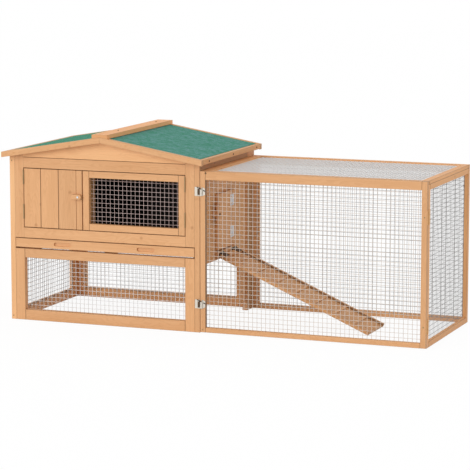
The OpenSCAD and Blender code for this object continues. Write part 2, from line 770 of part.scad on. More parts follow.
module hinge_pins() color(zinc) from_corner() {
    for (x = [board_pin_x, window_pin_x], z = hinge_zs)
        at_pin([x, pin_y], z) hinge_pin(door_hinge_l);
    for (z = run_hinge_zs) at_pin(run_pin, z) hinge_pin(run_hinge_l);
    for (z = pop_hinge_zs) at_pin(pop_pin, z) hinge_pin(pop_hinge_l);
    for (y = ramp_hinge_ys) at_ramp_pin(y) down_wall() hinge_pin(ramp_hinge_l);
}

// ---- Front doors ----

// Left edge of the board with number i
function door_board_x(i) = board_door_x + min(board_door_w, max(0, i * door_board_w - door_board_cut));

module board_door_boards() color(fir) from_corner() {
    count = ceil((board_door_w + door_board_cut) / door_board_w);
    difference() {
        for (i = [0 : count - 1])
            block([door_board_x(i) + (i > 0 ? door_seam / 2 : 0), 0, door_bottom],
                  [door_board_x(i + 1) - (i < count - 1 ? door_seam / 2 : 0),
                   board_door_t, door_top]);
        translate([button_x, button_hole, button_z]) rotate([90, 0, 0])
            cylinder(r = button_screw_r + pin_play, h = button_hole + cut);
    }
}

// Two ledges hold the boards together from inside
module board_door_ledges() color(fir_shade) from_corner()
    for (z = [door_bottom + ledge_rise, door_top - ledge_rise - ledge_w])
        block([board_door_x + ledge_inset, board_door_t, z],
              [board_door_end - ledge_inset, 2 * board_door_t, z + ledge_w]);

// Screw that a turn button pivots on: from below the face through washer and button
module pivot_screw(below, play) {
    reach = washer_t + button_t + play * seat;
    translate([0, 0, -below]) cylinder(r = button_screw_r, h = below + reach);
    translate([0, 0, reach]) screw_head(2 * button_screw_r, button_screw_r);
}

// Washer, and screw through the button into the door
module turn_button_screw() color(zinc) from_corner()
    translate([button_x, 0, button_z]) rotate([90, 0, 0]) {
        difference() {
            cylinder(r = washer_r, h = washer_t);
            translate([0, 0, -cut]) cylinder(r = button_screw_r + pin_play, h = 2 * cut);
        }
        pivot_screw(button_hole, 2);
    }

// Bar with rounded ends and a bore, lying in the plane of x and y, from low to high along x
module turn_bar(low, high, w, t) difference() {
    union() {
        translate([low + w / 2, -w / 2, 0]) cube([high - low - w, w, t]);
        for (x = [low + w / 2, high - w / 2]) translate([x, 0, 0]) cylinder(r = w / 2, h = t);
    }
    translate([0, 0, -cut]) cylinder(r = button_screw_r + pin_play, h = t + 2 * cut);
}

module turn_button() color(fir) from_corner()
    translate([button_x, -washer_t - seat, button_z]) rotate([90, 0, 0])
        turn_bar(-button_long, button_short, button_h, button_t);

module window_door_frame() color(fir) from_corner()
    frame_xz(window_door_x, window_door_end, door_bottom, door_top, 0, frame_t,
             window_strip_w, window_strip_w, window_strip_w, window_strip_w);

module window_door_mesh() color(wire_grey) from_corner()
    net_xz(window_door_x + window_strip_w - net_lap, window_door_end - window_strip_w + net_lap,
           door_bottom + window_strip_w - net_lap, door_top - window_strip_w + net_lap,
           frame_t, window_pitch);

// ---- Tray ----

module tray_front() color(fir) from_corner() difference() {
    block([tray_l, 0, tray_z], [tray_r, frame_t, tray_z + tray_front_h]);
    for (side = [-1, 1])
        translate([ridge_x + side * slot_spacing / 2, slot_d, tray_z + tray_front_h / 2])
            rotate([90, 0, 0]) {
                translate([-slot_l / 2 + slot_h / 2, -slot_h / 2, 0])
                    cube([slot_l - slot_h, slot_h, slot_d + cut]);
                for (end = [-1, 1]) translate([end * (slot_l - slot_h) / 2, 0, 0])
                    cylinder(r = slot_h / 2, h = slot_d + cut);
            }
}

// Floor panel with a rim along both sides and the back
module tray_floor() color(fir_shade) from_corner() {
    x0 = tray_l + tray_side;
    x1 = tray_r - tray_side;
    block([x0, frame_t, tray_z], [x1, tray_back, floor_z]);
    for (x = [x0, x1 - rim_t])
        block([x, frame_t, floor_z + joint], [x + rim_t, tray_back, floor_z + tray_rim_h]);
    block([x0 + rim_t + joint, tray_back - rim_t, floor_z + joint],
          [x1 - rim_t - joint, tray_back, floor_z + tray_rim_h]);
}

// ---- Hasps ----

module hasps() for (z = [lower_hasp_z, upper_hasp_z]) translate([0, 0, z]) children();

// Plate on the hutch with the round neck that the knob turns on
module hasp_knob_plates() color(zinc) from_corner() hasps() {
    block([knob_plate_x - knob_plate_w, -leaf_t, 0], [knob_plate_x, 0, hasp_h]);
    translate([knob_x, -leaf_t, knob_pivot_up]) rotate([90, 0, 0])
        cylinder(r = knob_neck_r, h = knob_neck_l);
}

// Leaf on the run door, tapered away from the hinge, with its pin
module hasp_door_leaves() color(zinc) from_corner() hasps() {
    translate([hasp_pin[0], hasp_pin[1], hasp_h / 2]) {
        difference() {
            union() {
                for (side = [-1, 1]) translate([0, 0, side * hasp_h / 3 - hasp_h / 6 + knuckle_gap])
                    cylinder(r = hasp_knuckle_r, h = hasp_h / 3 - 2 * knuckle_gap);
                for (side = [-1, 1])
                    translate([0.3, -hasp_pin[1] - leaf_t,
                               side * hasp_h / 3 - hasp_h / 6 + knuckle_gap])
                        cube([hasp_knuckle_r, leaf_t, hasp_h / 3 - 2 * knuckle_gap]);
                translate([0, -hasp_pin[1], 0]) rotate([90, 0, 0]) linear_extrude(leaf_t)
                    polygon([[hasp_knuckle_r + 0.15, -hasp_h / 2 + knuckle_gap],
                             [hasp_wide, -hasp_h / 3], [hasp_wide, hasp_h / 3],
                             [hasp_knuckle_r + 0.15, hasp_h / 2 - knuckle_gap]]);
            }
            translate([0, 0, -hasp_h]) cylinder(r = hasp_pin_r + pin_play, h = 2 * hasp_h);
        }
        hinge_pin(hasp_h - 2 * knuckle_gap, hasp_pin_r);
    }
}

// Flap with the slot that drops over the knob
module hasp_flap() {
    slot = [knob_x - knob_slot[0], knob_x + knob_slot[1]];
    difference() {
        union() {
            block([hasp_pin[0] - flap_reach, hasp_pin[1] - leaf_t / 2, 0],
                  [hasp_pin[0] - hasp_knuckle_r - 0.15, hasp_pin[1] + leaf_t / 2, hasp_h]);
            translate([hasp_pin[0], hasp_pin[1], hasp_h / 3 + knuckle_gap]) {
                cylinder(r = hasp_knuckle_r, h = hasp_h / 3 - 2 * knuckle_gap);
                translate([-hasp_knuckle_r - 0.3, -leaf_t / 2, 0])
                    cube([hasp_knuckle_r, leaf_t, hasp_h / 3 - 2 * knuckle_gap]);
            }
        }
        translate([hasp_pin[0], hasp_pin[1], -cut])
            cylinder(r = hasp_pin_r + pin_play, h = hasp_h + 2 * cut);
        block([slot[0], hasp_pin[1] - cut, knob_pivot_up - knob_down - knob_play],
              [slot[1], hasp_pin[1] + cut, knob_pivot_up + knob_up + knob_play]);
    }
}

module hasp_flap_upper() color(zinc) from_corner() translate([0, 0, upper_hasp_z]) hasp_flap();
module hasp_flap_lower() color(zinc) from_corner() translate([0, 0, lower_hasp_z]) hasp_flap();

// Turning knob: a tapered bar with a blind bore over the plate's neck
module hasp_knob()
    translate([knob_x, 0, knob_pivot_up]) rotate([90, 0, 0]) difference() {
        translate([0, 0, -hasp_pin[1] + leaf_t / 2 + 2 * seat]) linear_extrude(knob_t)
            polygon([[-knob_half[0], -knob_down], [knob_half[0], -knob_down], [knob_half[1], 0],
                     [knob_half[1], knob_up], [-knob_half[1], knob_up], [-knob_half[1], 0]]);
        cylinder(r = knob_neck_r + pin_play, h = leaf_t + knob_neck_l + pin_play);
    }

module hasp_knob_upper() color(zinc) from_corner() translate([0, 0, upper_hasp_z]) hasp_knob();
module hasp_knob_lower() color(zinc) from_corner() translate([0, 0, lower_hasp_z]) hasp_knob();

// ---- Pop door and ramp ----

// Hinge batten behind the pop door, and the block under its turn button
module pop_door_battens() color(fir_shade) from_corner() {
    block([wall_face, pop_pin[1] + pin_side, pop_z + batten_rise],
          [pop_face, pop_pin[1] + pin_side + batten_w, pop_z + pop_h]);
    block([wall_face, pop_button_y - pop_block[0] / 2, pop_button_z - pop_block[1] / 2],
          [pop_face, pop_button_y + pop_block[0] / 2, pop_button_z + pop_block[1] / 2]);
}

module pop_door() color(fir_shade) from_corner()
    block([pop_x, pop_y, pop_z], [pop_face, pop_y + pop_w, pop_z + pop_h]);

module pop_door_leaves() color(zinc) from_corner()
    for (z = pop_hinge_zs) at_pin(pop_pin, z) rotate(-90)
        hinge_leaf(pop_hinge_l, pop_leaf_reach, -surface_y - leaf_t, leaf_t, false);

module pop_door_button() color(fir) from_corner()
    translate([pop_face + washer_t, pop_button_y, pop_button_z]) rotate([90, 0, 90])
        rotate(90) turn_bar(-pop_button_l / 2, pop_button_l / 2, button_h, button_t);

module ramp_ledger() color(fir_shade) from_corner()
    block([wall_face, ramp_y, ledger_z], [pop_face, ramp_y + ramp_w, ledger_z + ledger_h]);

// Local x runs down the ramp from its pins, local z stands square to it
module in_ramp()
    translate([ramp_pin[0], ramp_y, ramp_pin[1]]) rotate([0, ramp_slope, 0]) children();

// Block that holds the leaves, two side rails down to the ground, and the floor board between
module ramp_board() color(fir) from_corner() in_ramp() {
    low = -ramp_drop - ramp_t;
    block([ramp_start, 0, low], [ramp_head, ramp_w, -ramp_drop]);
    for (y = [0, ramp_w - ramp_rail_w])
        block([ramp_head + joint, y, low], [ramp_end, y + ramp_rail_w, -ramp_drop]);
    block([ramp_head + joint, ramp_floor_w, low], [ramp_end, ramp_w - ramp_floor_w, -ramp_floor_drop]);
}

module ramp_leaves() color(zinc) from_corner()
    for (y = ramp_hinge_ys) at_ramp_pin(y) down_ramp()
        hinge_leaf(ramp_hinge_l, ramp_leaf_reach, -surface_y - leaf_t, leaf_t, false);

module ramp_cleats() color(fir) from_corner() in_ramp() {
    first = ramp_leaf_reach + cleat_margins[0];
    for (u = [first : cleat_pitch : ramp_end - cleat_w - cleat_margins[1]])
        block([u, ramp_floor_w, -ramp_floor_drop],
              [u + cleat_w, ramp_w - ramp_floor_w, -ramp_floor_drop + cleat_h]);
}

left_wall_frame();
left_wall_boards();
left_wall_mesh();
right_wall_frame();
right_wall_boards();
back_wall_frame();
back_wall_boards();
back_wall_mesh();
gable_boards();
front_stiles();
front_rails();
lower_front_frame();
lower_front_mesh();
tray_runners();
partition();
roof_boards_left();
roof_boards_right();
roof_felt_left();
roof_felt_right();
ridge_cap();
barge_boards();
eave_fascias();
screws();
run_back_frame();
run_back_mesh();
run_end_frame();
run_end_mesh();
run_top_frame();
run_top_mesh();
door_jamb_leaves();
run_jamb_leaves();
inner_jamb_leaves();
hinge_pins();
hasp_knob_plates();
pop_door_battens();
ramp_ledger();
board_door_boards();
board_door_ledges();
board_door_leaves();
turn_button_screw();
turn_button();
window_door_frame();
window_door_mesh();
window_door_leaves();
tray_front();
tray_floor();
run_door_frame();
run_door_mesh();
run_door_leaves();
hasp_door_leaves();
hasp_flap_upper();
hasp_flap_lower();
hasp_knob_upper();
hasp_knob_lower();
pop_door();
pop_door_leaves();
pop_door_button();
ramp_board();
ramp_leaves();
ramp_cleats();
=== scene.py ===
# %% [markdown]
# # A two-storey rabbit hutch with a wire run
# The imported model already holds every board, net, hinge and hasp in its place,
# so this lesson dresses it rather than building it again. The work is: give
# each board rounded arrises and its own grain, lay the real welded wire in
# place of the coarse nets, put mineral felt on the roof, and cut the screw heads.
# Lengths are in metres, with +X from the hutch to the far end of the run, -Y to
# the front with the doors, and +Z up.

import json
import math
import random

import bmesh
import bpy
from mathutils import Matrix, Vector


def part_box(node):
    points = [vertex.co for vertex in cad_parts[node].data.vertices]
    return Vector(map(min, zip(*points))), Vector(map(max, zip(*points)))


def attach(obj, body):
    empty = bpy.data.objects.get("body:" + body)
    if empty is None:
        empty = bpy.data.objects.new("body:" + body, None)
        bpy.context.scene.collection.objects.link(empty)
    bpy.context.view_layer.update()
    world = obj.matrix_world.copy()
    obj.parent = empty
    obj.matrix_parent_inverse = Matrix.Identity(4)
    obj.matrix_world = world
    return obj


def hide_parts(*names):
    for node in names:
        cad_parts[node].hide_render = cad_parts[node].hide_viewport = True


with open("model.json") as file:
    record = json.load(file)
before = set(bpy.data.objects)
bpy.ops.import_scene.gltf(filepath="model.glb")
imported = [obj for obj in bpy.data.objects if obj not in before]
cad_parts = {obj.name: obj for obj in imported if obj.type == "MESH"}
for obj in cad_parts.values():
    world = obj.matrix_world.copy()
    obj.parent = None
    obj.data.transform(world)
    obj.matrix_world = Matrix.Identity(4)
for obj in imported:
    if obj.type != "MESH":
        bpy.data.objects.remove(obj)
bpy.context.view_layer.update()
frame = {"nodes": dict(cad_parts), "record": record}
MM = 0.001
scene = bpy.context.scene
nodes = frame["nodes"]
slots = {row["node"]: row["material_slot"] for row in frame["record"]["subparts"]}
body_of = {node: body for body, members in frame["record"]["behaviour"]["bodies"].items()
           for node in members}

# %% [markdown]
# ## Camera
# The picture was taken from the front right, a little above the roof, with a
# long lens. The place comes from fitting some sixty corners of the object, so
# nothing here is judged by eye. A long lens keeps the uprights nearly parallel.

# %% Camera
LENS, SENSOR = 171.5, 36        # mm
LOOKS_DOWN, FROM_THE_RIGHT = math.radians(8.5), math.radians(21.29)
camera_data = bpy.data.cameras.new("camera")
camera_data.lens = LENS
camera_data.sensor_width = SENSOR
camera = bpy.data.objects.new("camera", camera_data)
camera.location = (2.867, -7.375, 1.492)
camera.rotation_euler = (math.pi / 2 - LOOKS_DOWN, 0, FROM_THE_RIGHT)
scene.collection.objects.link(camera)
scene.camera = camera
scene.view_settings.view_transform = "Standard"
print("camera:", tuple(round(v, 3) for v in camera.location))

# %% [markdown]
# ## Small helpers for materials
# A colour picked on a screen is written as a hex value in sRGB, while the
# shader counts in linear light, so one function turns it. A second adds a node
# with its settings and links in one line, and a third starts a material. The
# last three are the steps that every finish below is made of: an operation on
# two values, a change of range and a mix of two colours.

# %% Colour, node and material helpers
def colour(hex_value):
    """An sRGB hex colour as linear RGBA."""
    channels = [int(hex_value[i:i + 2], 16) / 255 for i in (1, 3, 5)]
    return tuple(c / 12.92 if c <= 0.04045 else ((c + 0.055) / 1.055) ** 2.4
                 for c in channels) + (1.0,)


def add(tree, kind, inputs=None, **settings):
    """Adds a shader node, sets it, and sets or links its inputs."""
    made = tree.nodes.new("ShaderNode" + kind)
    for name, value in settings.items():
        setattr(made, name, value)
    for socket, value in (inputs or {}).items():
        if isinstance(value, bpy.types.NodeSocket):
            tree.links.new(value, made.inputs[socket])
        else:
            made.inputs[socket].default_value = value
    return made


def material(name, **sockets):
    """A new material and its Principled shader, with constants on the shader's own sockets."""
    made = bpy.data.materials.new(name)
    made.use_nodes = True
    tree = made.node_tree
    shader = tree.nodes["Principled BSDF"]
    for socket, value in sockets.items():
        shader.inputs[socket.replace("_", " ")].default_value = value
    return made, tree, shader


def maths(tree, operation, one, other):
    """The outcome of one operation on two values."""
    return add(tree, "Math", {0: one, 1: other}, operation=operation).outputs[0]


def scaled(tree, value, low, high, out_low, out_high):
    """A value between low and high, moved to the range from out_low to out_high."""
    return add(tree, "MapRange", {"Value": value, "From Min": low, "From Max": high,
                                  "To Min": out_low, "To Max": out_high}).outputs["Result"]


def blend(tree, share, one, other):
    """A mix of two colours, with this share of the other one."""
    return add(tree, "Mix", {0: share, 6: one, 7: other}, data_type="RGBA").outputs[2]


print("honey in linear light:", [round(c, 3) for c in colour("#e3ae7e")])

# %% [markdown]
# ## The pattern of fir
# The timber is planed fir under a thin honey stain. A stain is not paint: the
# light early wood takes it up and the hard late wood does not, so growth rings
# and small knots show through.
# Rings could be an image, but they are really circles round the heart of the
# log, cut lengthwise. So each board carries its own grain coordinates, and the
# rings are the distance from a heart line that lies somewhere beside the board.

# %% Rings, streaks and knots
RING_PITCH = 5.0        # mm between rings; real ones are 2 to 4, coarser here to show
LATE_FROM, LATE_TO = 0.35, 0.9  # of a ring, where the late wood grows darker
SWAY_L, SWAY_W = 210.0, 45.0    # mm, length and width over which rings wander
WANDER = 26.0           # mm, how far they do
STREAK_L, STREAK_W, STREAK_SHARE = 150.0, 3.0, 0.45     # the fine streaks
BAND_L, BAND_W, BAND_SHARE = 330.0, 24.0, 0.45          # the broad bands
KNOT_SPACING = 150      # mm between places where a knot may be
KNOT_R = 5.0            # mm
KNOT_FROM = 0.7         # a place has a knot where its random value is above this


def noise_along(tree, mm, along, across, detail):
    """Noise from 0 to 1 with a size along the board and one across it, in mm."""
    squeezed = add(tree, "VectorMath", {0: mm, 1: (1 / along, 1 / across, 1 / across)},
                   operation="MULTIPLY").outputs[0]
    noise = add(tree, "TexNoise", {"Vector": squeezed, "Scale": 1.0, "Detail": detail,
                                   "Roughness": 0.55}).outputs["Fac"]
    return scaled(tree, noise, 0.3, 0.7, 0, 1)      # nearly all noise lies in this range


def late_wood(tree, mm):
    """How much late wood shows, as rings with streaks, and as these with broad bands."""
    section = add(tree, "VectorMath", {0: mm, 1: (0, 1, 1)}, operation="MULTIPLY").outputs[0]
    radius = add(tree, "VectorMath", {0: section}, operation="LENGTH").outputs["Value"]
    aside = maths(tree, "MULTIPLY", noise_along(tree, mm, SWAY_L, SWAY_W, 2.0), WANDER)
    turns = maths(tree, "DIVIDE", maths(tree, "ADD", radius, aside), RING_PITCH)
    ring = add(tree, "Math", {0: turns}, operation="FRACT").outputs[0]
    late = add(tree, "MapRange", {"Value": ring, "From Min": LATE_FROM, "From Max": LATE_TO},
               interpolation_type="SMOOTHSTEP").outputs["Result"]
    streaks = noise_along(tree, mm, STREAK_L, STREAK_W, 3.0)
    bands = noise_along(tree, mm, BAND_L, BAND_W, 2.0)
    fine = add(tree, "Mix", {0: STREAK_SHARE, 2: late, 3: streaks}, data_type="FLOAT").outputs[0]
    broad = add(tree, "Mix", {0: BAND_SHARE, 2: fine, 3: bands}, data_type="FLOAT").outputs[0]
    return fine, broad


def knots(tree, mm):
    """Half dark in the middle of a few scattered points, and 0 elsewhere."""
    spots = add(tree, "TexVoronoi", {"Vector": mm, "Scale": 1 / KNOT_SPACING},
                voronoi_dimensions="2D")
    reach = maths(tree, "MULTIPLY", spots.outputs["Distance"], KNOT_SPACING)
    chosen = maths(tree, "GREATER_THAN", spots.outputs["Color"], KNOT_FROM)
    core = scaled(tree, reach, KNOT_R * 0.5, KNOT_R * 1.6, 0.5, 0.0)
    return maths(tree, "MULTIPLY", core, chosen)


print("ring pitch:", RING_PITCH, "mm, a knot may be every", KNOT_SPACING, "mm")

# %% [markdown]
# ## Honey-stained fir
# The stain varies from board to board. End grain soaks it up and turns dark,
# and it gathers on the arrises, so that seams show as thin dark lines. All of
# this belongs to the board, so it is written on the faces and the material
# reads it there. Painted shade is written on the faces too: the insides of the
# two upper rooms are painted nearly black, and a few shaded sides darker.
# Late wood is harder, so it planes smoother and stands up a little.

# %% Fir material
# the last one is how dark painted shade gets, inside the upper rooms
END_SHADE, ARRIS_SHADE, PAINTED_SHADE_DARKEST = 0.8, 0.55, 0.015
EARLY_ROUGH, LATE_ROUGH = 0.62, 0.46
RELIEF, RELIEF_STRENGTH = 0.15 * MM, 0.35


def written(tree, name, plain, full):
    """A factor that is plain where a face has 0 written on it, and full where it has 1."""
    value = add(tree, "Attribute", attribute_name=name).outputs["Fac"]
    return scaled(tree, value, 0, 1, plain, full)


def fir(name, light, dark, knot, tone_low, tone_high):
    """Stained fir that reads the board's own grain coordinates."""
    made, tree, shader = material(name, Roughness=0.55)
    grain = add(tree, "Attribute", attribute_name="grain").outputs["Vector"]
    mm = add(tree, "VectorMath", {0: grain, 1: (1000, 1000, 1000)},
             operation="MULTIPLY").outputs[0]
    fine, depth = late_wood(tree, mm)
    wood = blend(tree, depth, colour(light), colour(dark))
    wood = blend(tree, knots(tree, mm), wood, colour(knot))
    shade = written(tree, "board_tone", tone_low, tone_high)
    # board tone, end grain and arrises are the stain's own; the last factor is painted shade
    for attribute, full in (("end_grain", END_SHADE), ("arris", ARRIS_SHADE),
                            ("painted_shade", PAINTED_SHADE_DARKEST)):
        shade = maths(tree, "MULTIPLY", shade, written(tree, attribute, 1.0, full))
    wood = add(tree, "VectorMath", {0: wood, "Scale": shade}, operation="SCALE").outputs[0]
    tree.links.new(wood, shader.inputs["Base Color"])
    rough = scaled(tree, fine, 0, 1, EARLY_ROUGH, LATE_ROUGH)
    tree.links.new(rough, shader.inputs["Roughness"])
    raised = add(tree, "Bump", {"Height": fine, "Strength": RELIEF_STRENGTH, "Distance": RELIEF})
    tree.links.new(raised.outputs["Normal"], shader.inputs["Normal"])
    return made


# Besides the stain, this holds painted light and shade: fir_inside is a copy painted darker as
# shade, and the copies for the run's end, the ridge and the gable are painted lighter on boards
# that the lamps leave in shade.
FIRS = {    # name, early wood, late wood, knots, and the darkest and lightest board's tone
    "fir": ("planed fir, honey stain", "#e5af7c", "#d19863", "#a8703f", 0.95, 1.05),
    "fir_inside": ("planed fir, painted darker as shade inside", "#e2a971", "#cb9059", "#96602f", 0.92, 1.04),
    "fir_painted_lighter_at_end": ("planed fir, painted lighter at the run's end", "#efb379", "#db9c63", "#a8703f", 0.97, 1.05),
    "fir_painted_lighter_on_ridge": ("planed fir, painted orange and lighter", "#f8b67a", "#eaa463", "#bb7a40", 1.0, 1.05),
    "fir_painted_lighter_in_shade": ("planed fir, painted lighter in shade", "#f4be88", "#e2a870", "#b07846",
                  1.0, 1.05),
}
finishes = {kind: fir(*look) for kind, look in FIRS.items()}
print("wood finishes:", [made.name for made in finishes.values()])

# %% [markdown]
# ## From a CAD board to a piece
# A node arrives as loose triangles with knife edges, and its own mesh stays as
# it is. So each piece starts from a copy whose points are merged and whose flat
# faces are joined. A node may hold many boards, and they are told apart by
# which points hang together.

# %% Helpers for pieces
SHARP = math.radians(30)        # edges sharper than this are eased
TOUCH = 0.01 * MM
LEFT, RIGHT = Vector((-1, 0, 0)), Vector((1, 0, 0))
FRONT, BACK, UP = Vector((0, -1, 0)), Vector((0, 1, 0)), Vector((0, 0, 1))
FACING = 0.95                   # cosine above which a face looks in a direction


def copy_of(node):
    """A merged bmesh of a CAD node, with flat faces joined."""
    bm = bmesh.new()
    bm.from_mesh(nodes[node].data)
    bmesh.ops.remove_doubles(bm, verts=bm.verts, dist=TOUCH)
    bmesh.ops.dissolve_limit(bm, angle_limit=math.radians(0.5), verts=bm.verts, edges=bm.edges)
    return bm


def islands(bm):
    """The parts of a mesh that hang together, as lists of vertices."""
    seen, found = set(), []
    for start in bm.verts:
        if start in seen:
            continue
        seen.add(start)
        group = [start]
        for vert in group:
            for edge in vert.link_edges:
                other = edge.other_vert(vert)
                if other not in seen:
                    seen.add(other)
                    group.append(other)
        found.append(group)
    return found


def cut(bm, place, outward, **settings):
    """Cuts a whole mesh along a plane, and gives what the cut made."""
    whole = bm.verts[:] + bm.edges[:] + bm.faces[:]
    return bmesh.ops.bisect_plane(bm, geom=whole, plane_co=place, plane_no=outward,
                                  **settings)["geom_cut"]


def sharp_edges(bm):
    """The edges that a plane or a press would ease."""
    return [e for e in bm.edges if len(e.link_faces) == 2 and e.calc_face_angle() > SHARP]


def ease(bm, edges, width):
    """Rounds edges, and gives the faces that this makes."""
    return bmesh.ops.bevel(bm, geom=edges, offset=width, affect="EDGES", segments=2,
                           profile=0.5, clamp_overlap=False, material=-1)["faces"]


def new_piece(bm, name, body, finish_of):
    """Turns a bmesh into a finished piece that rides on a body."""
    mesh = bpy.data.meshes.new(name)
    bm.to_mesh(mesh)
    bm.free()
    mesh.materials.append(finish_of)
    piece = bpy.data.objects.new(name, mesh)
    scene.collection.objects.link(piece)
    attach(piece, body)
    return piece


def stand_in(bm, name, node, finish_of):
    """A finished piece that takes the place of a node."""
    piece = new_piece(bm, name, body_of[node], finish_of)
    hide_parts(node)
    return piece


print("wooden nodes:", sum(slot in ("fir", "fir_inside") for slot in slots.values()))

# %% [markdown]
# ## Painted shade on the wood
# Some sides get painted shade, darker than their stain: the inside of the upper
# rooms, the inner face of the ramp's far rail, the rear post, the rail that shows
# between the run and the eave, and the inner side of the run door's left strip.
# Lamps could make shade there, but then the object would look wrong under other
# light. So each face gets a share of painted shade, between 0, its own stain, and
# 1, as dark as the rooms. A face that is only partly in a room is cut in two first.

# %% Shade of a face
FRONT_PART = -0.17      # the light still reaches what lies before this depth
# painted shade on the ramp's far rail, the rear post, the rail under the eave and the run door's
# left stile
RAIL_SHADE, POST_SHADE, EAVE_SHADE, STILE_SHADE = 0.6, 0.28, 0.35, 0.6
RUN_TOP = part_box("run_top_frame")[1].z
REAR_POST = 0.8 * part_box("right_wall_frame")[1].y
ROOM_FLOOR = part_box("tray_floor")[0].z - 1 * MM
# faces that look into the upper rooms are painted nearly black as shade
ROOM_SIDES = {"back_wall_boards": (FRONT,), "left_wall_boards": (RIGHT,),
              "right_wall_boards": (LEFT,), "partition": (LEFT, RIGHT, FRONT, BACK),
              "tray_floor": (UP, LEFT, RIGHT),
              "roof_boards_left": (-UP,), "roof_boards_right": (-UP,)}
CUT_AT = {**{node: ROOM_FLOOR for node in ROOM_SIDES}, "right_wall_frame": RUN_TOP}


def painted_darkness_of(node, face):
    """How much painted shade a face gets, from 0 for its own stain to 1 for the rooms."""
    middle, centre = face.calc_center_median(), sum(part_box(node), Vector()) / 2

    def looks(*sides):
        return any(face.normal.dot(side) > FACING for side in sides)

    if node == "ramp_board":
        return RAIL_SHADE * (looks(FRONT) and middle.y > centre.y)
    if node == "run_door_frame":
        return STILE_SHADE * (looks(RIGHT) and middle.x < centre.x)
    if node == "right_wall_frame" and middle.z > RUN_TOP:
        return EAVE_SHADE * (looks(RIGHT) and middle.y < REAR_POST)
    if node == "right_wall_frame":
        return POST_SHADE * (middle.y > REAR_POST)
    in_room = middle.z > ROOM_FLOOR and middle.y > FRONT_PART
    return float(in_room and looks(*ROOM_SIDES.get(node, ())))


print("room floor at mm:", round(ROOM_FLOOR / MM, 1))

# %% [markdown]
# ## Grain for every board
# Grain always runs along a board, whatever way the board lies. So each board
# gets axes from its own longest edge, and its coordinates are shifted at random
# so that no two boards look alike. The node's name is the seed, which keeps the
# picture the same each time.

# %% Grain
HEART_ALONG, HEART_ASIDE, HEART_BELOW = (0, 4), (-0.03, 0.03), (0.015, 0.06)
END_FACING = 0.8        # a face that looks along the grain this much is end grain


def board_axes(group):
    """Directions of grain, width and thickness of one board."""
    members = set(group)
    spans = [e.verts[1].co - e.verts[0].co for v in group for e in v.link_edges
             if e.verts[0] == v and e.verts[1] in members]
    grain = max(spans, key=lambda s: s.length).normalized()
    across = [s - grain * s.dot(grain) for s in spans]
    width = max(across, key=lambda s: s.length).normalized()
    return grain, width, grain.cross(width)


def lay_grain(bm, node):
    """Writes each board's grain coordinates, tone and end grain as attributes."""
    rng = random.Random(node)
    along = bm.verts.layers.float_vector.new("grain")
    tone = bm.faces.layers.float.new("board_tone")
    ends = bm.faces.layers.float.new("end_grain")
    for group in islands(bm):
        axes = board_axes(group)
        heart = Vector([rng.uniform(*reach)
                        for reach in (HEART_ALONG, HEART_ASIDE, HEART_BELOW)])
        shade = rng.random()
        middle = sum((v.co for v in group), Vector()) / len(group)
        for vert in group:
            vert[along] = Vector([(vert.co - middle).dot(a) for a in axes]) + heart
            for face in vert.link_faces:
                face[tone] = shade
                face[ends] = float(abs(face.normal.dot(axes[0])) > END_FACING)


sample = copy_of("ridge_cap")
print("grain of the ridge cap:", [round(c, 2) for c in board_axes(islands(sample)[0])[0]])
sample.free()

# %% [markdown]
# ## Eased arrises
# A planed board has its arrises eased by about a millimetre, and that thin band
# is what catches the light and holds the stain. Narrow bands suit the boards
# whose seams hardly show in the photo, and wide ones those with clear seams.
# The edges of the tray's finger slots stay sharp.

# %% Plane every wooden node
ARRIS = 0.6             # mm, where nothing else is given
ARRISES = {"board_door_boards": 1.2, "window_door_frame": 0.8, "tray_front": 1.0,
           "lower_front_frame": 1.0, "front_stiles": 0.4, "right_wall_frame": 0.4,
           "barge_boards": 0.15, "gable_boards": 0.3, "front_rails": 0.3,
           "left_wall_frame": 0.3, "run_top_frame": 1.0, "run_end_frame": 1.0,
           "right_wall_boards": 1.0}
# copies painted lighter go on shaded boards, and the copy painted darker on the eave fascias
FIR_KINDS = {"run_end_frame": "fir_painted_lighter_at_end", "run_top_frame": "fir_painted_lighter_at_end",
             "gable_boards": "fir_painted_lighter_in_shade", "eave_fascias": "fir_inside",
             "partition": "fir_painted_lighter_in_shade", "left_wall_frame": "fir_painted_lighter_in_shade",
             "back_wall_frame": "fir_painted_lighter_in_shade", "ridge_cap": "fir_painted_lighter_on_ridge"}
FILLED, FILLED_SHADE = (0.7, 0.97), 0.25    # the board door's last groove is nearly filled


def on_outline(point, low, high):
    """Whether a point lies on an edge of the box from low to high."""
    return sum(min(abs(point[i] - low[i]), abs(point[i] - high[i])) < TOUCH
               for i in range(3)) >= 2


def plane_board(node, finish_of, arris):
    """Dresses a wooden node: shades, eased arrises and grain."""
    low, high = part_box(node)
    bm = copy_of(node)
    painted_shade = bm.faces.layers.float.new("painted_shade")
    if node in CUT_AT:
        cut(bm, (0, 0, CUT_AT[node]), UP)
    for face in bm.faces:
        # painted shade, written on each face
        face[painted_shade] = painted_darkness_of(node, face)
    worn = bm.faces.layers.float.new("arris")
    sharp = sharp_edges(bm)
    if node == "tray_front":
        sharp = [e for e in sharp if all(on_outline(v.co, low, high) for v in e.verts)]
    for face in ease(bm, sharp, arris):
        share = (face.calc_center_median().x - low.x) / (high.x - low.x)
        filled = node == "board_door_boards" and FILLED[0] < share < FILLED[1]
        face[worn] = FILLED_SHADE if filled else 1.0
    bm.normal_update()
    lay_grain(bm, node)
    faces = len(bm.faces)
    piece = stand_in(bm, node + "_planed", node, finish_of)
    print(f"{piece.name}: {faces} faces")


for node, slot in slots.items():
    if slot in ("fir", "fir_inside"):
        plane_board(node, finishes[FIR_KINDS.get(node, slot)], ARRISES.get(node, ARRIS) * MM)

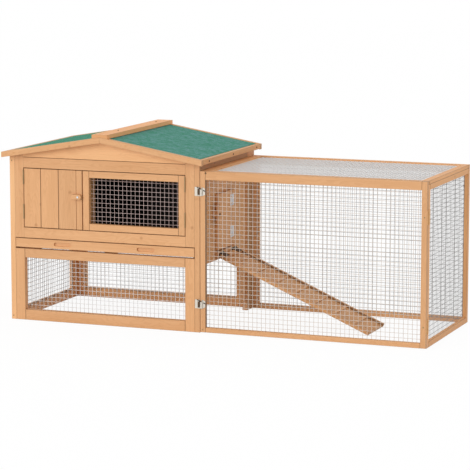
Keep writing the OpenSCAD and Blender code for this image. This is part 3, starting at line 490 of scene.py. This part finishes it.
# %% [markdown]
# ## Zinc-plated steel
# Hinges, hasps, knobs and screws are pressed or turned steel with a zinc
# plating. Plating is smooth but never a mirror: it has a soft, slightly uneven
# gloss, and a fine cloud in the roughness keeps the small parts from looking
# like chrome. The photo shows several tones: bright on the hasps and the inner
# hinges, yellowish on the run's hinges, dark on the knobs, and grey on wire. So
# one function makes them all from a table.

# %% Metal finishes
GLOSS_CLOUDS = 350.0    # per metre


def plated(name, base, rough_low, rough_high, metallic):
    """Plated steel with a faintly clouded gloss."""
    made, tree, shader = material(name, Metallic=metallic, Base_Color=colour(base))
    place = add(tree, "TexCoord").outputs["Object"]
    cloud = add(tree, "TexNoise", {"Vector": place, "Scale": GLOSS_CLOUDS, "Detail": 3.0})
    rough = scaled(tree, cloud.outputs["Fac"], 0.3, 0.7, rough_low, rough_high)
    tree.links.new(rough, shader.inputs["Roughness"])
    return made


PLATINGS = {    # name, colour, least and most roughness, and metallic
    "zinc": ("zinc plated steel", "#d4d5d4", 0.25, 0.42, 1.0),
    # yellow zinc, and also painted shade: darker for the shadow in the hinges' gaps
    "yellow zinc painted darker": ("hinges' yellow zinc, painted darker as shade", "#a08a66", 0.4, 0.6, 1.0),
    "dark zinc": ("dark zinc on knobs and screws", "#5d4a3a", 0.4, 0.6, 1.0),
    "mesh": ("galvanised wire", "#92908f", 0.5, 0.65, 0.3),
    # the paler wire copies below are painted light on one galvanised wire
    "mesh painted light": ("galvanised wire, painted light", "#d8cdc2", 0.5, 0.65, 0.2),
    "top mesh": ("galvanised wire, lit from above", "#e0dfde", 0.5, 0.65, 0.2),
    "mesh painted light in window": ("galvanised wire in shade, painted light", "#e6cfc9", 0.5, 0.65, 0.2),
    "pop zinc": ("bright zinc on the inner hinges", "#e0e2e4", 0.45, 0.6, 0.3),
    "hasp zinc": ("zinc on the hasps", "#cbc4b8", 0.35, 0.5, 0.7),
    # painted shade: the roll and the rib are dark for the shadow along the hasp flap's edge
    "zinc painted dark as shade": ("edge rolls, painted dark as shade", "#3a2f28", 0.5, 0.65, 0.5),
    "honey zinc": ("yellow zinc on the run's hinges", "#e0ae76", 0.5, 0.65, 0.3),
}
finishes.update({kind: plated(*look) for kind, look in PLATINGS.items()})
print("metal finishes:", list(PLATINGS))

# %% [markdown]
# ## Hinges, hasps and knobs
# These parts are made whole in the CAD model, so they only need a finish; the
# hasp flaps get their rolled edge further on. One node holds leaves of two
# kinds, those of the pop door above and those of the ramp below, and the lower
# ones are darker. It gets a copy with two materials.

# %% Zinc parts
KINDS = {"hasp_knob_upper": "dark zinc", "hasp_knob_lower": "dark zinc",
         "run_jamb_leaves": "honey zinc", "run_door_leaves": "honey zinc",
         "hasp_door_leaves": "hasp zinc", "hasp_knob_plates": "hasp zinc",
         "inner_jamb_leaves": "pop zinc", "pop_door_leaves": "pop zinc",
         "ramp_leaves": "dark zinc"}
for node, slot in slots.items():
    if slot == "zinc":
        kind = KINDS.get(node, "yellow zinc painted darker" if "leaves" in node else "zinc")
        nodes[node].data.materials.clear()
        nodes[node].data.materials.append(finishes[kind])

bm = copy_of("inner_jamb_leaves")
for face in bm.faces:
    face.material_index = int(face.calc_center_median().z < ROOM_FLOOR)
leaves = stand_in(bm, "inner_jamb_leaves_plated", "inner_jamb_leaves", finishes["pop zinc"])
leaves.data.materials.append(finishes["dark zinc"])
print("zinc nodes:", sum(slot == "zinc" for slot in slots.values()))

# %% [markdown]
# ## Cross-recessed screw heads
# A screw head on such a kit is a low dome with a cross recess. The recess could
# be painted on, but from near it has to be a real hole. A grid of five by five
# cells gives the cross: its middle row and column are sunk with one inset, its
# rim is pulled out to a circle, and two rings of edges make the dome's side.

# %% Screw heads
ARM, HALF_SLOT, RIM = 0.56, 0.13, 0.78  # of the radius: the cross, and the dome's flat top
SLOT_SLOPE, SLOT_DEPTH = 0.04, 0.3      # of the radius too
RIM_SPREAD = 1.02       # moves the rim's points a little apart on two sides
SIDE_TOP = 0.45         # of the height
SUNK_IN = 0.3 * MM      # how deep the head sits in the wood


def standing(point, outward):
    """A matrix that puts local +Z along outward at point."""
    return Matrix.Translation(point) @ outward.to_track_quat("Z", "Y").to_matrix().to_4x4()


def screw_head(bm, place, radius, height):
    """Adds a screw head that stands on the XY plane of the matrix place."""
    # The grid's points lie at odd numbers of half a millimetre, from -5 to 5
    grid = bmesh.ops.create_grid(bm, x_segments=5, y_segments=5, size=2.5 * MM)["verts"]
    arm, half = ARM * radius, HALF_SLOT * radius
    line = {-5: -radius, -3: -arm, -1: -half, 1: half, 3: arm, 5: radius}
    rim = []
    for vert in grid:
        step_x, step_y = (round(vert.co[i] / MM * 2) for i in (0, 1))
        vert.co = Vector((line[step_x], line[step_y], height))
        if 5 in (abs(step_x), abs(step_y)):
            turn = math.atan2(step_y * (RIM_SPREAD if abs(step_y) < 5 else 1), step_x)
            vert.co = Vector((math.cos(turn), math.sin(turn), 0)) * radius * RIM
            vert.co.z = height
            rim.append(vert)
    cross = []
    for face in list({f for v in grid for f in v.link_faces}):
        near, far = sorted(abs(face.calc_center_median()[i]) for i in (0, 1))
        if near < half / 2 and far < arm:
            cross.append(face)
    sunk = bmesh.ops.inset_region(bm, faces=cross, thickness=SLOT_SLOPE * radius,
                                  depth=-SLOT_DEPTH * radius)
    ring = list(dict.fromkeys(e for v in rim for e in v.link_edges if e.is_boundary))
    made = set(grid) | {v for f in sunk["faces"] for v in f.verts}
    for level in (SIDE_TOP * height, -SUNK_IN):
        out = bmesh.ops.extrude_edge_only(bm, edges=ring)["geom"]
        verts = [g for g in out if isinstance(g, bmesh.types.BMVert)]
        ring = [g for g in out if isinstance(g, bmesh.types.BMEdge) and g.is_boundary]
        for vert in verts:
            flat = Vector((vert.co.x, vert.co.y, 0)).normalized() * radius
            vert.co = Vector((flat.x, flat.y, level))
        made |= set(verts)
    bmesh.ops.edgeloop_fill(bm, edges=ring)
    bmesh.ops.transform(bm, matrix=place, verts=list(made))


def add_screws(name, body, places, radius, height=0.9 * MM, finish_of="dark zinc"):
    """A piece of its own with a screw head at each place, a point and its outward direction."""
    bm = bmesh.new()
    for point, outward in places:
        screw_head(bm, standing(point, outward), radius, height)
    bmesh.ops.recalc_face_normals(bm, faces=bm.faces)
    new_piece(bm, name, body, finishes[finish_of])
    print(f"{name}: {len(places)} heads on {body}")


sample = bmesh.new()
screw_head(sample, Matrix.Identity(4), 3 * MM, 1 * MM)
print("faces of one screw head:", len(sample.faces))
sample.free()

# %% [markdown]
# ## Screws that the CAD model has
# Their node holds shafts and plain heads. A head is found as a small island of
# points whose largest face is its foot. It is deleted, and the cross-recessed
# one is put in its place. Those on the barge boards and at the far end of the
# run are pale in the photo, so they become a piece of their own.

# %% Dress the CAD screws
HEAD_REACH = 5 * MM     # islands larger than this are no heads
FAR_END = 0.75          # beyond this x is the end of the run


def light_one(foot, outward):
    """Whether a screw is one of the pale ones."""
    return abs(outward.y) > 0.5 or foot.x > FAR_END


def dress_screws(node):
    """Gives a node's dark screws their heads, and gives back the places of the pale ones."""
    bm = copy_of(node)
    heads = []
    for group in islands(bm):
        base = max({f for v in group for f in v.link_faces}, key=lambda f: f.calc_area())
        foot, outward = base.calc_center_median().copy(), -base.normal.copy()
        if max((v.co - foot).length for v in group) < HEAD_REACH:
            radius = max((v.co - foot).length for v in base.verts)
            rise = max((v.co - foot).dot(outward) for v in group)
            heads.append((foot, outward, radius, rise))
            bmesh.ops.delete(bm, geom=group, context="VERTS")
    for foot, outward, radius, rise in heads:
        if not light_one(foot, outward):
            screw_head(bm, standing(foot, outward), radius, rise)
    bmesh.ops.recalc_face_normals(bm, faces=bm.faces)
    stand_in(bm, node + "_heads", node, finishes["dark zinc"])
    print(node, "heads:", len(heads), "radius mm:", round(heads[0][2] / MM, 2))
    return [(foot, outward) for foot, outward, *_ in heads if light_one(foot, outward)]


pale_places = dress_screws("screws")
add_screws("pale_screws", body_of["screws"], pale_places, 2.6 * MM, finish_of="honey zinc")

# %% [markdown]
# ## Screws in the hinge leaves, on the run door and on the left post
# These small ones are only in the scene. A leaf is held by two, and their
# places come from the plate's outer face. The others were read from the photo,
# in millimetres from the corners of the run door and of the post.

# %% Further screws
LEAF_SHARES = (-0.28, 0.28)     # of a plate's longer side, from its middle


def plate_places(node, outward):
    """Two places on the outer face of each plate of a node, apart along its longer side."""
    bm = copy_of(node)
    places = []
    for group in islands(bm):
        faces = {f for v in group for f in v.link_faces if f.normal.dot(outward) > FACING}
        plate = max(faces, key=lambda f: f.calc_area())
        middle = plate.calc_center_median()
        side = max((e.verts[1].co - e.verts[0].co for e in plate.edges), key=lambda s: s.length)
        places += [(middle + side * share, outward) for share in LEAF_SHARES]
    bm.free()
    return places


for node in ("run_jamb_leaves", "run_door_leaves", "inner_jamb_leaves", "pop_door_leaves"):
    add_screws(node + "_screws", body_of[node], plate_places(node, RIGHT), 2.4 * MM,
               finish_of="honey zinc")
low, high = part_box("run_door_frame")
DOOR_SCREWS = [     # x, z, radius and finish
    (low.x + 21 * MM, high.z - 6.5 * MM, 3.2 * MM, "dark zinc"),
    (high.x - 9 * MM, high.z - 121 * MM, 2.4 * MM, "yellow zinc painted darker"),
    (high.x - 9 * MM, low.z + 72 * MM, 2.4 * MM, "yellow zinc painted darker"),
    (low.x + 9 * MM, low.z + 9 * MM, 2.4 * MM, "yellow zinc painted darker")]
for number, (x, z, radius, kind) in enumerate(DOOR_SCREWS, 1):
    add_screws(f"run_door_screw_{number}", "run_door", [(Vector((x, low.y, z)), FRONT)],
               radius, 0.8 * MM, kind)
post_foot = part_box("left_wall_frame")[0]
add_screws("post_screws", "hutch",
           [(post_foot + Vector((8 * MM, 0, height)), FRONT) for height in (13 * MM, 575 * MM)],
           2.2 * MM, 0.8 * MM, "yellow zinc painted darker")

# %% [markdown]
# ## Hasp flaps
# Each flap is pressed from sheet. Its upper edge slopes down towards the hinge
# and is rolled over, and the roll goes on as a rib on the door leaf. The corner
# is cut off with a plane and closed again, and the roll is a rod along the cut.
# The roll ends before the hinge, and the rib lies behind its line, so that the
# flap can swing back over the leaf without touching either.

# %% Hasp flaps
# The roll and the rib are painted dark: painted shade for the shadow line along the flap's upper
# edge.
RUN, DROP = 30, 14                              # the slope of the edge
FALL = Vector((RUN, 0, -DROP)).normalized()     # along the edge
ABOVE = Vector((DROP, 0, RUN)).normalized()     # square to it, outward
CORNER_IN, SHEET_MIDDLE = 6 * MM, 0.6 * MM      # from the flap's end and from its face
ROLL = (0, 17.5 * MM, 1.3 * MM)                 # start and end along the edge, and radius
RIB = (25.5 * MM, 33 * MM, 1.7 * MM)
RIB_OUT = 2.0 * MM                              # from the wood to the middle of the rib


def rolled_edge(name, body, corner, start, end, radius):
    """A rolled edge of thin sheet, painted dark as shade, between two distances from the corner.
    """
    bm = bmesh.new()
    middle = corner + FALL * (start + end) / 2
    bmesh.ops.create_cone(bm, cap_ends=True, segments=12, radius1=radius, radius2=radius,
                          depth=end - start, matrix=standing(middle, FALL))
    new_piece(bm, name, body, finishes["zinc painted dark as shade"])


wood_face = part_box("hasp_door_leaves")[1].y
for node in ("hasp_flap_upper", "hasp_flap_lower"):
    low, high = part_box(node)
    corner = Vector((low.x + CORNER_IN, low.y + SHEET_MIDDLE, high.z))
    bm = copy_of(node)
    made = cut(bm, corner, ABOVE, clear_outer=True)
    bmesh.ops.holes_fill(bm, edges=[g for g in made if isinstance(g, bmesh.types.BMEdge)])
    bmesh.ops.recalc_face_normals(bm, faces=bm.faces)
    print(node, "open edges:", sum(e.is_boundary for e in bm.edges))
    stand_in(bm, node + "_sheet", node, finishes["hasp zinc"])
    rolled_edge(node + "_roll", body_of[node], corner, *ROLL)
    corner.y = wood_face - RIB_OUT
    rolled_edge(node + "_rib", "run_door", corner, *RIB)

# %% [markdown]
# ## Welded wire
# The nets are galvanised wire, welded where the wires cross, with a pitch of
# 16 mm. The CAD keeps only every third wire, or every second in the window
# door, as straight square strands. Here one layer of round wires lies on the
# other and each pair bites a little into the other at the weld, so each wire is
# a six-sided rod of its own. The net is held by staples, short bent wires that
# are shot over it into the frame.

# %% Wires and staples
PITCH = 16 * MM
WIRE = 1.5 * MM
LAYER = 0.45 * MM       # from the middle of the net to the middle of one layer
STAPLE_WIRE = 1.0 * MM
STAPLE_W = 8.0 * MM
STAPLE_L = 3.0 * MM
STAPLE_IN = 4.0 * MM    # from the net's edge to the staples
STAPLE_PITCH = 90 * MM


def rod(bm, middle, axis, length, diameter):
    """Adds a six-sided rod along an axis number."""
    turn = (Matrix.Rotation(math.pi / 2, 4, "Y"), Matrix.Rotation(math.pi / 2, 4, "X"),
            Matrix.Identity(4))[axis]
    bmesh.ops.create_cone(bm, cap_ends=True, segments=6, radius1=diameter / 2,
                          radius2=diameter / 2, depth=length,
                          matrix=Matrix.Translation(middle) @ turn)


def staple(bm, point, out, along):
    """Adds a staple at point: a crown along one axis, and two legs away from the free side."""
    crown = point + out * (LAYER + WIRE / 2 + STAPLE_WIRE / 2)
    side = Vector([float(i == along) for i in range(3)])
    rod(bm, crown, along, STAPLE_W + STAPLE_WIRE, STAPLE_WIRE)
    depth = next(i for i in range(3) if abs(out[i]) > 0.5)
    for end in (-0.5, 0.5):
        rod(bm, crown + side * end * STAPLE_W - out * STAPLE_L / 2, depth, STAPLE_L, STAPLE_WIRE)


print("pitch mm:", round(PITCH / MM), "wire mm:", round(WIRE / MM, 1))

# %% [markdown]
# ## Every net
# A net fills the box of its node, with the wires spread evenly from the middle.
# Staples go round the border on the side where nothing is in their way. Seen
# from afar, the net's brightness depends on how thick and how pale its wires
# are, and so both differ a little from net to net, after the photo.

# %% Nets
# the paler wire finishes are painted light: the same galvanised wire, made paler on nets that
# catch light
WIRES = {"run_top_mesh": 1.9 * MM, "window_door_mesh": 1.1 * MM, "back_wall_mesh": 1.3 * MM,
         "run_back_mesh": 1.4 * MM, "run_end_mesh": 1.4 * MM}
NET_KINDS = {"run_top_mesh": "top mesh", "window_door_mesh": "mesh painted light in window",
             "run_door_mesh": "mesh painted light", "lower_front_mesh": "top mesh"}
FREE_SIDES = {"left_wall_mesh": RIGHT, "back_wall_mesh": FRONT, "lower_front_mesh": BACK,
              "window_door_mesh": BACK, "run_back_mesh": FRONT, "run_end_mesh": LEFT,
              "run_door_mesh": BACK}


def lay_wires(bm, node, middle, size, thin, flat):
    """Adds both layers of wires, and gives their number."""
    rods = 0
    for level, (along, across) in ((-LAYER, flat), (LAYER, flat[::-1])):
        count = int((size[across] - WIRE) / PITCH)
        for k in range(count + 1):
            place = middle.copy()
            place[across] += (k - count / 2) * PITCH
            place[thin] += level
            rod(bm, place, along, size[along], WIRES.get(node, WIRE))
            rods += 1
    return rods


def lay_staples(bm, middle, size, flat, out):
    """Adds staples along all four borders, and gives their number."""
    staples = 0
    for along, across in (flat, flat[::-1]):
        count = int(size[along] / STAPLE_PITCH)
        for k in range(count):
            for end in (-1, 1):
                place = middle.copy()
                place[along] += (k - (count - 1) / 2) * size[along] / count
                place[across] += end * (size[across] / 2 - STAPLE_IN)
                staple(bm, place, out, along)
                staples += 1
    return staples


def weave(node):
    """Lays welded wire in place of a node's net, with staples where it has a free side."""
    low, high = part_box(node)
    size, middle = high - low, (low + high) / 2
    thin = min(range(3), key=lambda i: size[i])
    flat = [i for i in range(3) if i != thin]
    bm = bmesh.new()
    rods = lay_wires(bm, node, middle, size, thin, flat)
    staples = lay_staples(bm, middle, size, flat, FREE_SIDES[node]) if node in FREE_SIDES else 0
    stand_in(bm, node + "_wires", node, finishes[NET_KINDS.get(node, "mesh")])
    print(f"{node}: {rods} wires, {staples} staples")


for node, slot in slots.items():
    if slot == "mesh":
        weave(node)

# %% [markdown]
# ## Mineral felt
# The roof is covered with bitumen felt that has green slate granules rolled
# into it, and a few of them are bluish or bleached. It is dull, and rough
# enough to feel like sandpaper. Granules are about 1 mm, too fine for the
# picture, so a second, coarser mottle of some centimetres carries the look.

# %% Felt material and sheets
GRANULE, MOTTLE, CLOUD = 1.6 * MM, 22 * MM, 60 * MM
FELT_EDGE = 0.7 * MM
FADING = 0.3            # the most that clouds take the mottle back
FLECK_FROM = 0.82       # a granule is pale where its random value is above this
GRIT, GRIT_STRENGTH = 0.5 * MM, 0.6


def mineral_felt(name, low, high, fleck_tone):
    """Dull green felt with granules, mottled and here and there faded."""
    made, tree, shader = material(name, Roughness=0.92, Specular_IOR_Level=0.25)
    place = add(tree, "TexCoord").outputs["Object"]
    grit = add(tree, "TexVoronoi", {"Vector": place, "Scale": 1 / GRANULE})
    mottle = add(tree, "TexNoise", {"Vector": place, "Scale": 1 / MOTTLE, "Detail": 4.0,
                                    "Roughness": 0.7})
    cloud = add(tree, "TexNoise", {"Vector": place, "Scale": 1 / CLOUD, "Detail": 2.0})
    base = blend(tree, scaled(tree, mottle.outputs["Fac"], 0.36, 0.64, 0, 1),
                 colour(low), colour(high))
    fleck = maths(tree, "GREATER_THAN", grit.outputs["Color"], FLECK_FROM)
    speckled = blend(tree, fleck, base, colour(fleck_tone))
    faded = blend(tree, scaled(tree, cloud.outputs["Fac"], 0.35, 0.65, 0, FADING),
                  speckled, colour(low))
    tree.links.new(faded, shader.inputs["Base Color"])
    raised = add(tree, "Bump", {"Height": grit.outputs["Distance"],
                                "Strength": GRIT_STRENGTH, "Distance": GRIT})
    tree.links.new(raised.outputs["Normal"], shader.inputs["Normal"])
    return made


# the left felt's darker, greener colours are painted shade on that slope
FELTS = {"roof_felt_left": ("green mineral felt", "#2f8a62", "#4b9080", "#6f9a98"),
         "roof_felt_right": ("green mineral felt, bluish", "#38896c", "#669d98", "#8aa9b2")}
for node, look in FELTS.items():
    bm = copy_of(node)
    ease(bm, sharp_edges(bm), FELT_EDGE)
    stand_in(bm, node + "_sheet", node, mineral_felt(*look))
    print(node, "laid")

# %% [markdown]
# ## Floor, world and lamp
# A studio with white walls gives soft light from all sides, and one large lamp
# from the front makes the front bright and the right-hand faces darker.
# At this level a surface facing the camera renders about as its colour is
# written. The floor and the background are white only for the camera and for
# what metal reflects, so that they throw no more light on the object.

# %% Studio
WORLD_LEVEL, LAMP_LEVEL = 0.75, 0.32
LAMP_FROM, LAMP_WIDTH = Vector((-0.4, -0.8, 0.3)), math.radians(40)
WHITE = (1, 1, 1, 1)
FLOOR_SIZE, FLOOR_GAP = 40, 1 * MM      # the gap keeps it clear of the feet
FLOOR_GLOW = 0.93       # lifts a grey floor to white, and leaves the shadow on it


def seen_plainly(tree):
    """1 for rays of the camera, and for those that metal or glass sends on."""
    path = add(tree, "LightPath")
    direct = path.outputs["Is Camera Ray"]
    for kind in ("Is Glossy Ray", "Is Transmission Ray"):
        direct = maths(tree, "MAXIMUM", direct, path.outputs[kind])
    return direct


bpy.ops.mesh.primitive_plane_add(size=FLOOR_SIZE, location=(0, 0, -FLOOR_GAP))
floor = bpy.context.object
floor.name = "floor"
floor_finish, tree, shader = material("pale floor", Roughness=1.0, Specular_IOR_Level=0.0)
seen = seen_plainly(tree)
tree.links.new(blend(tree, seen, colour("#f4f4f4"), colour("#505050")),
               shader.inputs["Base Color"])
shader.inputs["Emission Color"].default_value = WHITE
tree.links.new(maths(tree, "MULTIPLY", seen, FLOOR_GLOW), shader.inputs["Emission Strength"])
floor.data.materials.append(floor_finish)

scene.world = world = bpy.data.worlds.new("studio")
world.use_nodes = True
tree = world.node_tree
sky = tree.nodes["Background"]
sky.inputs["Color"].default_value = WHITE
tree.links.new(scaled(tree, seen_plainly(tree), 0, 1, WORLD_LEVEL, 1.0), sky.inputs["Strength"])

lamp_data = bpy.data.lights.new("window light", "SUN")
lamp_data.energy = LAMP_LEVEL * math.pi
lamp_data.angle = LAMP_WIDTH
lamp = bpy.data.objects.new("window light", lamp_data)
lamp.rotation_euler = LAMP_FROM.to_track_quat("Z", "Y").to_euler()
scene.collection.objects.link(lamp)
print("world level:", WORLD_LEVEL, "lamp level:", LAMP_LEVEL)
